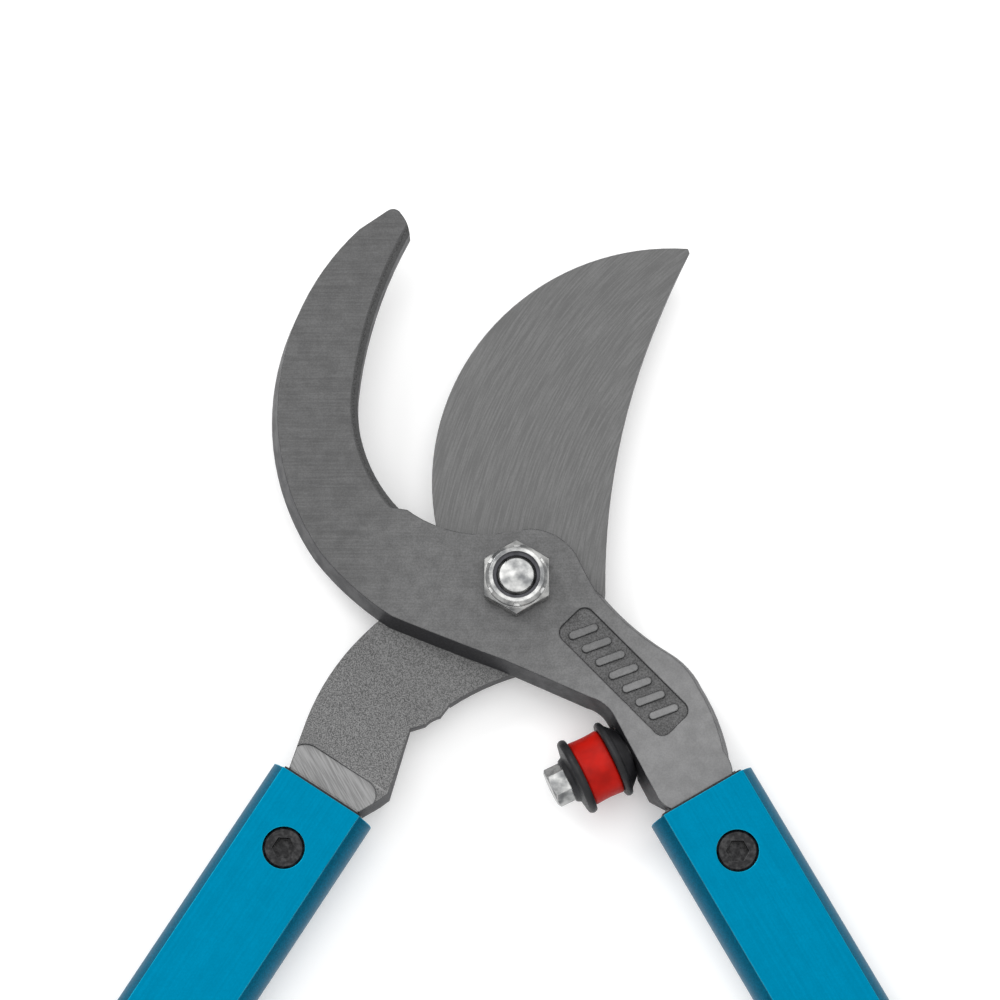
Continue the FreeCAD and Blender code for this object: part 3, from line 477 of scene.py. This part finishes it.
def blade_finish(colours, sizes):
    """Wheel-ground plate with its lines in arcs, a forged tang and a milled pad at the tube's mouth."""
    made = JawFinish("blade steel", colours.blade, colours.scale, 2200.0, sizes.metal_edge * BLADE_EDGE)
    tree = made.tree
    tones = made.tones(BLADE_TONES)
    arcs = use(tree, arcs_group(), Place=made.place, Centre=BLADE_GRIND_CENTRE, Stretch=0.005, Scale=2300.0)
    plate = mix(tree, times(tree, arcs["Mask"], ARC_STRENGTH), tones["dark arc"], tones["pale arc"])
    plate = mix(tree, times(tree, made.fine["Mask"], BLADE_PIT_STRENGTH), plate, tones["pit"])
    tang = ramp(tree, times_plus(tree, made.parts[0], TANG_SLANT, made.parts[1]), *BLADE_TANG)
    speckle = made.grain(3200.0)["Mask"]
    # Painted light: the sloping forging of the tang's ramp is painted paler than the level forging, to cancel
    # its shading.
    forged = mix(tree, ramp(tree, made.normal[2], *SLOPE), mix(tree, speckle, tones["pit"], tones["level"]),
                 mix(tree, speckle, tones["pit"], tones["sloping"]))
    milled_lines = made.lines(MILLED_ANGLE, stretch=0.05, scale=2600.0)
    by_tube = made.along(LEFT, LEFT.reach("left_tube")[0] - MILLED_LENGTH)
    return made.complete(
        face=mix(tree, tang, plate, forged),
        pad=mix(tree, milled_lines["Mask"], tones["milled"], tones["milled line"]),
        sunk=times(tree, times(tree, made.band(TANG_TOP, *MILLED_PAD), by_tube), made.flat),
        brightness=0.45, outline=times(tree, tang, 0.7),
        roughness=times_plus(tree, tang, 0.16, 0.42),
        height=times_plus(tree, times(tree, made.fine["Height"], tang), 1.8,
                          times_plus(tree, arcs["Height"], 0.5, made.fine["Height"])))


def small_finish(name, sizes, grain_scale, tones, edge, wear, worn_tone, roughness, bump, by="Mask",
                 mottle=None, metallic=0.0, specular=0.5):
    """Two tones and a fine grain, with edges rubbed to a third tone, which is also a painted highlight along
    them.

    The tones are shared out by an output of the grain or by a mottle, a noise's scale, detail and contrast.
    Roughness is a number, or an output of the grain with its spread and its least value.
    """
    made = Finish(name)
    tree = made.tree
    grain = made.grain(grain_scale)
    share = grain[by] if mottle is None else ramp(tree, noise(tree, made.place, *mottle[:2]), *mottle[2:])
    worn, rounded = made.wear(sizes.metal_edge * edge)
    # Rubbed edges and a painted highlight: the edge mask mixes in the third tone, as strong as the wear
    # share.
    colour = mix(tree, times(tree, worn, wear), mix(tree, share, *tones), worn_tone)
    if isinstance(roughness, tuple):
        output, spread, least = roughness
        roughness = times_plus(tree, grain[output], spread, least)
    made.set(Base_Color=colour, Metallic=metallic, Specular_IOR_Level=specular, Roughness=roughness,
             Normal=made.bump(grain["Height"], *bump, rounded))
    return made.material


def zinc_finish(sizes):
    """Bright zinc plate, a little cloudy, with rubbed edges that also carry a painted highlight."""
    return small_finish("bright zinc", sizes, grain_scale=1500.0, mottle=(260.0, 3.0, 0.3, 0.7),
                        tones=((0.12, 0.123, 0.126), (0.5, 0.5, 0.49)), edge=1.4, wear=0.6,
                        worn_tone=(0.8, 0.8, 0.8), roughness=("Cloud", 0.16, 0.24), bump=(0.00008, 0.35),
                        metallic=0.95)


def bronze_finish(sizes):
    """Sintered bronze with open pores."""
    return small_finish("sintered bronze", sizes, grain_scale=2600.0,
                        tones=((0.2, 0.11, 0.045), (0.42, 0.25, 0.11)), edge=1.0, wear=0.5,
                        worn_tone=(0.7, 0.46, 0.22), roughness=0.42, bump=(0.00008, 0.4), metallic=0.9)


def oxide_finish(sizes):
    """Black oxide on socket screws, mottled, with grey along the edges, rubbed through and also a painted
    highlight.
    """
    return small_finish("black oxide", sizes, grain_scale=1700.0, mottle=(900.0, 4.0, 0.42, 0.66),
                        tones=((0.005, 0.005, 0.006), (0.03, 0.03, 0.031)), edge=1.4, wear=0.5,
                        worn_tone=(0.12, 0.12, 0.125), roughness=("Mask", 0.2, 0.36), bump=(0.0001, 0.5),
                        metallic=0.3, specular=0.3)


def nylon_finish(name, sizes, rubbed, paler=1.0):
    """Black moulded nylon with a fine spark-eroded texture, its edges rubbed more or less grey, partly as a
    painted highlight.
    """
    tones = (shade((0.006, 0.006, 0.007), paler), shade((0.014, 0.014, 0.016), paler))
    return small_finish(name, sizes, grain_scale=2600.0, by="Cloud", tones=tones, edge=2.0, wear=rubbed,
                        worn_tone=(0.05, 0.05, 0.054), roughness=("Mask", 0.14, 0.4), bump=(0.0001, 0.45),
                        specular=0.3)


TUBE_EDGE = 2.0
TUBE_STEP = (0.0012, 0.0004)  # foot and top of the step below the tube's face; below its foot the tube is painted in shade
# bright blue of the rubbed corners, a painted highlight line along the land's edge
TUBE_EDGE_HIGHLIGHT_TONE = (0.014, 0.5, 0.74)
STREAK_STRENGTH = 0.4
BAND_STRENGTH = 0.12
TUBE_PIT_STRENGTH = 0.22
TUBE_EDGE_WEAR_AND_HIGHLIGHT = 0.85


def anodised_finish(handle, colours, sizes):
    """Anodised aluminium: drawing streaks along the tube, a fine grain, painted shade on the shoulders below
    the step, and rubbed corners painted as a bright highlight.
    """
    made = Finish(handle.side + " anodised aluminium")
    tree = made.tree
    base = colours.anodising
    grain = made.grain(2300.0)
    streaks = made.lines(-math.atan2(handle.along.y, handle.along.x), stretch=0.008, scale=1500.0)
    tone = mix(tree, times(tree, streaks["Mask"], STREAK_STRENGTH), base, shade(base, 1.22))
    tone = mix(tree, times(tree, streaks["Bands"], BAND_STRENGTH), tone, shade(base, 0.84))
    tone = mix(tree, times(tree, grain["Mask"], TUBE_PIT_STRENGTH), tone, shade(base, 0.72))
    # Painted shade: below the step along the land, the tube's shoulders and sides are painted darker.
    half_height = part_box(handle.side + "_tube")[1][2] - handle.origin.z
    level = ramp(tree, maths(tree, "ABSOLUTE", maths(tree, "SUBTRACT", made.parts[2], handle.origin.z)),
                 *(half_height - depth for depth in TUBE_STEP))
    tone = mix(tree, level, mix(tree, grain["Mask"], shade(base, 0.52), shade(base, 0.78)), tone)
    worn, rounded = made.wear(sizes.metal_edge * TUBE_EDGE)
    # Rubbed corners painted as a bright highlight line along each edge.
    tone = mix(tree, times(tree, worn, TUBE_EDGE_WEAR_AND_HIGHLIGHT), tone, TUBE_EDGE_HIGHLIGHT_TONE)
    height = times_plus(tree, streaks["Height"], 0.6, grain["Height"])
    made.set(Base_Color=tone, Metallic=0.85, Roughness=times_plus(tree, grain["Cloud"], 0.03, 0.44),
             Specular_IOR_Level=0.0, Normal=made.bump(height, 0.00006, 0.5, rounded))
    return made.material


DUST_TONE = (0.06, 0.058, 0.055)
DUST_CONTRAST = (0.45, 0.75)
MOST_DUST = 0.35


def rubber_finish(colours):
    """Moulded rubber: fine grain, with shinier and dusty patches."""
    made = Finish("grip rubber")
    tree = made.tree
    grain = made.grain(1900.0)
    patches = noise(tree, made.place, scale=45.0, detail=4.0)
    colour = mix(tree, grain["Mask"], colours.rubber, shade(colours.rubber, 1.7))
    colour = mix(tree, ramp(tree, patches, *DUST_CONTRAST, end=MOST_DUST), colour, DUST_TONE)
    made.set(Base_Color=colour, Roughness=times_plus(tree, patches, 0.3, 0.45),
             Normal=made.bump(grain["Height"], 0.00012, 0.5))
    return made.material


def urethane_finish(colours):
    """The bumper's soft red core: satin, with a faint grain."""
    made = Finish("red urethane")
    tree = made.tree
    grain = made.grain(1500.0)
    colour = mix(tree, grain["Cloud"], shade(colours.bumper, 0.75), shade(colours.bumper, 1.15))
    made.set(Base_Color=colour, Roughness=times_plus(tree, grain["Mask"], 0.12, 0.4), Specular_IOR_Level=0.12,
             Subsurface_Weight=0.08, Subsurface_Scale=0.002, Normal=made.bump(grain["Height"], 0.00008, 0.35))
    return made.material


FLOOR_TONES = ((0.9, 0.9, 0.9), (0.93, 0.93, 0.93))
FLOOR_GLOW = 0.16


def floor_finish():
    """Pale matt board with the slightest unevenness of tone."""
    made = Finish("pale board")
    patches = noise(made.tree, made.place, scale=3.0, detail=3.0)
    made.set(Base_Color=mix(made.tree, patches, *FLOOR_TONES), Roughness=0.85, Emission_Color=(1, 1, 1, 1),
             Emission_Strength=FLOOR_GLOW)
    return made.material


def finish_nodes(material, *nodes):
    for node in nodes:
        for holder in frame["nodes"][node].material_slots:
            holder.material = material


# ---------------------------------------------------------------- mesh work

def link(name, mesh, material, place=None):
    made = bpy.data.objects.new(name, mesh)
    bpy.context.scene.collection.objects.link(made)
    made.data.materials.append(material)
    if place is not None:
        made.matrix_world = place
    for face in mesh.polygons:
        face.use_smooth = True
    return made


def closed_sleeve(name, rings, material, place=None):
    """A mesh through rings of equal counts, each ring closed, the last ring joined to the first."""
    made = bmesh.new()
    rows = [[made.verts.new(spot) for spot in ring] for ring in rings]
    count = len(rings[0])
    for number, row in enumerate(rows):
        after = rows[(number + 1) % len(rows)]
        for spot in range(count):
            other = (spot + 1) % count
            made.faces.new((row[spot], row[other], after[other], after[spot]))
    bmesh.ops.recalc_face_normals(made, faces=made.faces)
    mesh = bpy.data.meshes.new(name)
    made.to_mesh(mesh)
    made.free()
    return link(name, mesh, material, place)


def oval(half_width, half_height, squareness, count):
    """A rounded rectangle's outline as (across, up, angle): squareness 2 is an ellipse."""
    outline = []
    for number in range(count):
        angle = 2 * math.pi * number / count
        across = math.copysign(abs(math.cos(angle)) ** (2 / squareness), math.cos(angle))
        up = math.copysign(abs(math.sin(angle)) ** (2 / squareness), math.sin(angle))
        outline.append((half_width * across, half_height * up, angle))
    return outline


GRIP_SQUARENESS = 2.9
GRIP_POINTS = 72
RINGS_PER_RIB = 8
GRIP_SWELL = ((0.0, 0.94), (0.012, 0.99), (0.035, 1.0), (0.06, 0.99), (0.09, 0.9), (0.3, 0.92), (0.55, 0.955),
              (0.85, 0.92), (0.94, 0.985), (0.97, 1.0), (0.99, 0.99), (1.0, 0.95))
RIBS_START = 0.13
RIBS_END = 0.83
PALM_SPREAD = 1.6
BORE_SQUARENESS = 4.0


def swell(share):
    """The girth of a grip, as a share of its largest, at a share of its length."""
    for (low, before), (high, after) in zip(GRIP_SWELL, GRIP_SWELL[1:]):
        if share <= high:
            part = (share - low) / (high - low)
            part = part * part * (3 - 2 * part)
            return before + (after - before) * part
    return GRIP_SWELL[-1][1]


def grip_rings(handle, node, sizes):
    """The rings of a grip: its ribbed outside, its rolled ends and the wall against the tube."""
    start, end = handle.reach(node)
    length = end - start
    half_width, half_height = handle.half_size(node)
    tube_width, tube_height = handle.half_size(handle.side + "_tube")
    ring_count = round(length / sizes.rib_pitch * RINGS_PER_RIB)
    rings = []
    for number in range(ring_count + 1):
        share = number / ring_count
        girth = swell(share)
        rib_phase = (share - RIBS_START) * length / sizes.rib_pitch
        groove = 0.5 - 0.5 * math.cos(2 * math.pi * rib_phase)
        inside = RIBS_START < share < RIBS_END
        ring = []
        for across, up, angle in oval(half_width * girth, half_height * girth, GRIP_SQUARENESS, GRIP_POINTS):
            palm = min(1.0, abs(math.sin(angle)) ** 2 * PALM_SPREAD)
            depth = sizes.rib_depth * groove ** 2 * palm if inside else 0.0
            size_now = math.hypot(across, up)
            rings_share = (size_now - depth) / size_now
            ring.append((start + share * length, across * rings_share, up * rings_share))
        rings.append(ring)
    for along in (end, start):
        bore = oval(tube_width, tube_height, BORE_SQUARENESS, GRIP_POINTS)
        rings.append([(along, across, up) for across, up, _ in bore])
    return rings


CORE_POINTS = 72
CORE_ROUNDING = 0.0007
CORE_WAIST = 0.00018
CORE_CORNER_STEPS = 6
CORE_FACE_STEPS = 12


def core_rings(axis, middle, thickness, radius, hole):
    """The rings of the bumper's core: rolled edges, a slight waist and the wall round its bolt."""
    level = axis.cross(Vector((0, 0, 1))).normalized()
    upright = level.cross(axis).normalized()
    half = thickness / 2
    profile = [(-half, hole)]
    for step in range(CORE_CORNER_STEPS + 1):
        turn = math.pi / 2 * step / CORE_CORNER_STEPS
        along = -half + CORE_ROUNDING * (1 - math.cos(turn))
        profile.append((along, radius - CORE_ROUNDING * (1 - math.sin(turn))))
    for step in range(1, CORE_FACE_STEPS):
        share = step / CORE_FACE_STEPS
        along = -half + CORE_ROUNDING + share * (thickness - 2 * CORE_ROUNDING)
        profile.append((along, radius - CORE_WAIST * math.sin(math.pi * share)))
    profile += [(-along, across) for along, across in reversed(profile[1:CORE_CORNER_STEPS + 2])]
    profile.append((half, hole))
    rings = []
    for along, across in profile:
        ring = []
        for number in range(CORE_POINTS):
            turn = 2 * math.pi * number / CORE_POINTS
            spot = middle + axis * along + (level * math.cos(turn) + upright * math.sin(turn)) * across
            ring.append(spot)
        rings.append(ring)
    return rings


# ---------------------------------------------------------------- operators

class LOPPERS_OT_jaws(bpy.types.Operator):
    """Finish the hook and the blade in ground steel"""
    bl_idname = "loppers.jaws"
    bl_label = "Jaws"

    def execute(self, context):
        scene = context.scene
        finish_nodes(hook_finish(scene.lopper_colours, scene.lopper_sizes), "hook_jaw")
        finish_nodes(blade_finish(scene.lopper_colours, scene.lopper_sizes), "cutting_blade")
        return {"FINISHED"}


class LOPPERS_OT_pivot(bpy.types.Operator):
    """Finish the pivot's bolt, nut, washer, lock ring and bush"""
    bl_idname = "loppers.pivot"
    bl_label = "Pivot"

    def execute(self, context):
        sizes = context.scene.lopper_sizes
        finish_nodes(zinc_finish(sizes), "pivot_bolt", "pivot_nut", "pivot_washer", "bumper_bolt")
        finish_nodes(bronze_finish(sizes), "pivot_bush")
        finish_nodes(nylon_finish("lock ring nylon", sizes, rubbed=0.2, paler=6.0), "nut_lock_ring")
        return {"FINISHED"}


class LOPPERS_OT_handles(bpy.types.Operator):
    """Finish the tubes, their liners, screws, barrel nuts and end plugs"""
    bl_idname = "loppers.handles"
    bl_label = "Handles"

    def execute(self, context):
        colours, sizes = context.scene.lopper_colours, context.scene.lopper_sizes
        oxide = oxide_finish(sizes)
        nylon = nylon_finish("liner nylon", sizes, rubbed=0.05)
        for handle in HANDLES:
            finish_nodes(anodised_finish(handle, colours, sizes), handle.side + "_tube")
            finish_nodes(oxide, handle.side + "_tube_screw", handle.side + "_barrel_nut")
            finish_nodes(nylon, handle.side + "_tang_liner", handle.side + "_end_plug")
        return {"FINISHED"}


class LOPPERS_OT_grips(bpy.types.Operator):
    """Mould a ribbed rubber grip over the end of each tube"""
    bl_idname = "loppers.grips"
    bl_label = "Grips"

    def execute(self, context):
        scene = context.scene
        rubber = rubber_finish(scene.lopper_colours)
        for handle, body in ((RIGHT, "hook_arm"), (LEFT, "blade_arm")):
            node = handle.side + "_grip"
            rings = grip_rings(handle, node, scene.lopper_sizes)
            grip = closed_sleeve(handle.side + "_ribbed_grip", rings, rubber, handle.matrix())
            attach(grip, body)
            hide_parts(node)
        return {"FINISHED"}


class LOPPERS_OT_bumper(bpy.types.Operator):
    """Turn the bumper's soft core and finish its black flanges"""
    bl_idname = "loppers.bumper"
    bl_label = "Bumper"

    def execute(self, context):
        scene = context.scene
        joint = JOINTS["bumper_squash"]
        axis = -Vector(joint["axis"]).normalized()
        middle = centre_of("bumper_core")
        spots = [spot - middle for spot in spots_of("bumper_core")]
        half = max(spot.dot(axis) for spot in spots)
        distances = [(spot - axis * spot.dot(axis)).length for spot in spots]
        rings = core_rings(axis, middle, half * 2, max(distances), min(distances))
        core = closed_sleeve("bumper_soft_core", rings, urethane_finish(scene.lopper_colours))
        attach(core, "hook_arm")
        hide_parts("bumper_core")
        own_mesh(core)
        nylon = nylon_finish("bumper nylon", scene.lopper_sizes, rubbed=0.35)
        finish_nodes(nylon, "bumper_base", "bumper_cap")
        return {"FINISHED"}


VIEW_CENTRE = Vector((-0.0041, 0.0205, HOOK_TOP))
LENS = 147.2
SENSOR = 36.0
FLOOR_HALF = 8.0
FLOOR_CELLS = 24
SKY_STRENGTH = 0.9
SOFT_BOX_SPOT = (0, 0.1, 1.9)
SOFT_BOX_SIZE = 1.6
SOFT_BOX_POWER = 13.0
KEY_SPOT = (-0.9, 0.9, 1.2)
KEY_SIZE = 0.5
KEY_POWER = 7.0


def soft_light(name, spot, size, power):
    """A square lamp that looks at the jaws."""
    data = bpy.data.lights.new(name, "AREA")
    data.shape = "SQUARE"
    data.size = size
    data.energy = power
    made = bpy.data.objects.new(name, data)
    bpy.context.scene.collection.objects.link(made)
    made.location = spot
    made.rotation_euler = (VIEW_CENTRE - made.location).to_track_quat("-Z", "Y").to_euler()


class LOPPERS_OT_stage(bpy.types.Operator):
    """Lay the loppers on a pale floor under soft light, and set the camera over the jaws"""
    bl_idname = "loppers.stage"
    bl_label = "Stage"

    def execute(self, context):
        scene = context.scene
        sizes = scene.lopper_sizes
        made = bmesh.new()
        bmesh.ops.create_grid(made, x_segments=FLOOR_CELLS, y_segments=FLOOR_CELLS, size=FLOOR_HALF)
        mesh = bpy.data.meshes.new("floor")
        made.to_mesh(mesh)
        made.free()
        link("floor", mesh, floor_finish())

        sky = bpy.data.worlds.new("studio")
        sky.use_nodes = True
        glow = sky.node_tree.nodes["Background"].inputs
        glow["Color"].default_value = (1, 1, 1, 1)
        glow["Strength"].default_value = SKY_STRENGTH
        scene.world = sky
        soft_light("overhead", SOFT_BOX_SPOT, SOFT_BOX_SIZE, SOFT_BOX_POWER)
        soft_light("key", KEY_SPOT, KEY_SIZE, KEY_POWER)

        data = bpy.data.cameras.new("camera")
        data.sensor_width = SENSOR
        data.lens = LENS
        camera = bpy.data.objects.new("camera", data)
        scene.collection.objects.link(camera)
        back = Vector((0, -math.sin(sizes.camera_tilt), math.cos(sizes.camera_tilt)))
        camera.location = VIEW_CENTRE + back * sizes.camera_distance
        camera.rotation_euler = (sizes.camera_tilt, 0, 0)
        scene.camera = camera
        scene.view_settings.view_transform = "Standard"
        return {"FINISHED"}


OPERATORS = (LOPPERS_OT_jaws, LOPPERS_OT_pivot, LOPPERS_OT_handles, LOPPERS_OT_grips, LOPPERS_OT_bumper,
             LOPPERS_OT_stage)


class LOPPERS_PT_panel(bpy.types.Panel):
    """The loppers' sizes, colours and pieces"""
    bl_idname = "LOPPERS_PT_panel"
    bl_label = "Bypass loppers"
    bl_space_type = "VIEW_3D"
    bl_region_type = "UI"
    bl_category = "Loppers"

    def draw(self, context):
        layout = self.layout
        for settings in (context.scene.lopper_colours, context.scene.lopper_sizes):
            for name in settings.__annotations__:
                layout.prop(settings, name)
        for operator in OPERATORS:
            layout.operator(operator.bl_idname)


CLASSES = (LopperColours, LopperSizes, *OPERATORS, LOPPERS_PT_panel)


def register():
    for made in CLASSES:
        bpy.utils.register_class(made)
    bpy.types.Scene.lopper_colours = bpy.props.PointerProperty(type=LopperColours)
    bpy.types.Scene.lopper_sizes = bpy.props.PointerProperty(type=LopperSizes)


def unregister():
    del bpy.types.Scene.lopper_colours
    del bpy.types.Scene.lopper_sizes
    for made in reversed(CLASSES):
        bpy.utils.unregister_class(made)


def main():
    register()
    bpy.ops.loppers.jaws()
    bpy.ops.loppers.pivot()
    bpy.ops.loppers.handles()
    bpy.ops.loppers.grips()
    bpy.ops.loppers.bumper()
    bpy.ops.loppers.stage()


if __name__ == "__main__":
    main()
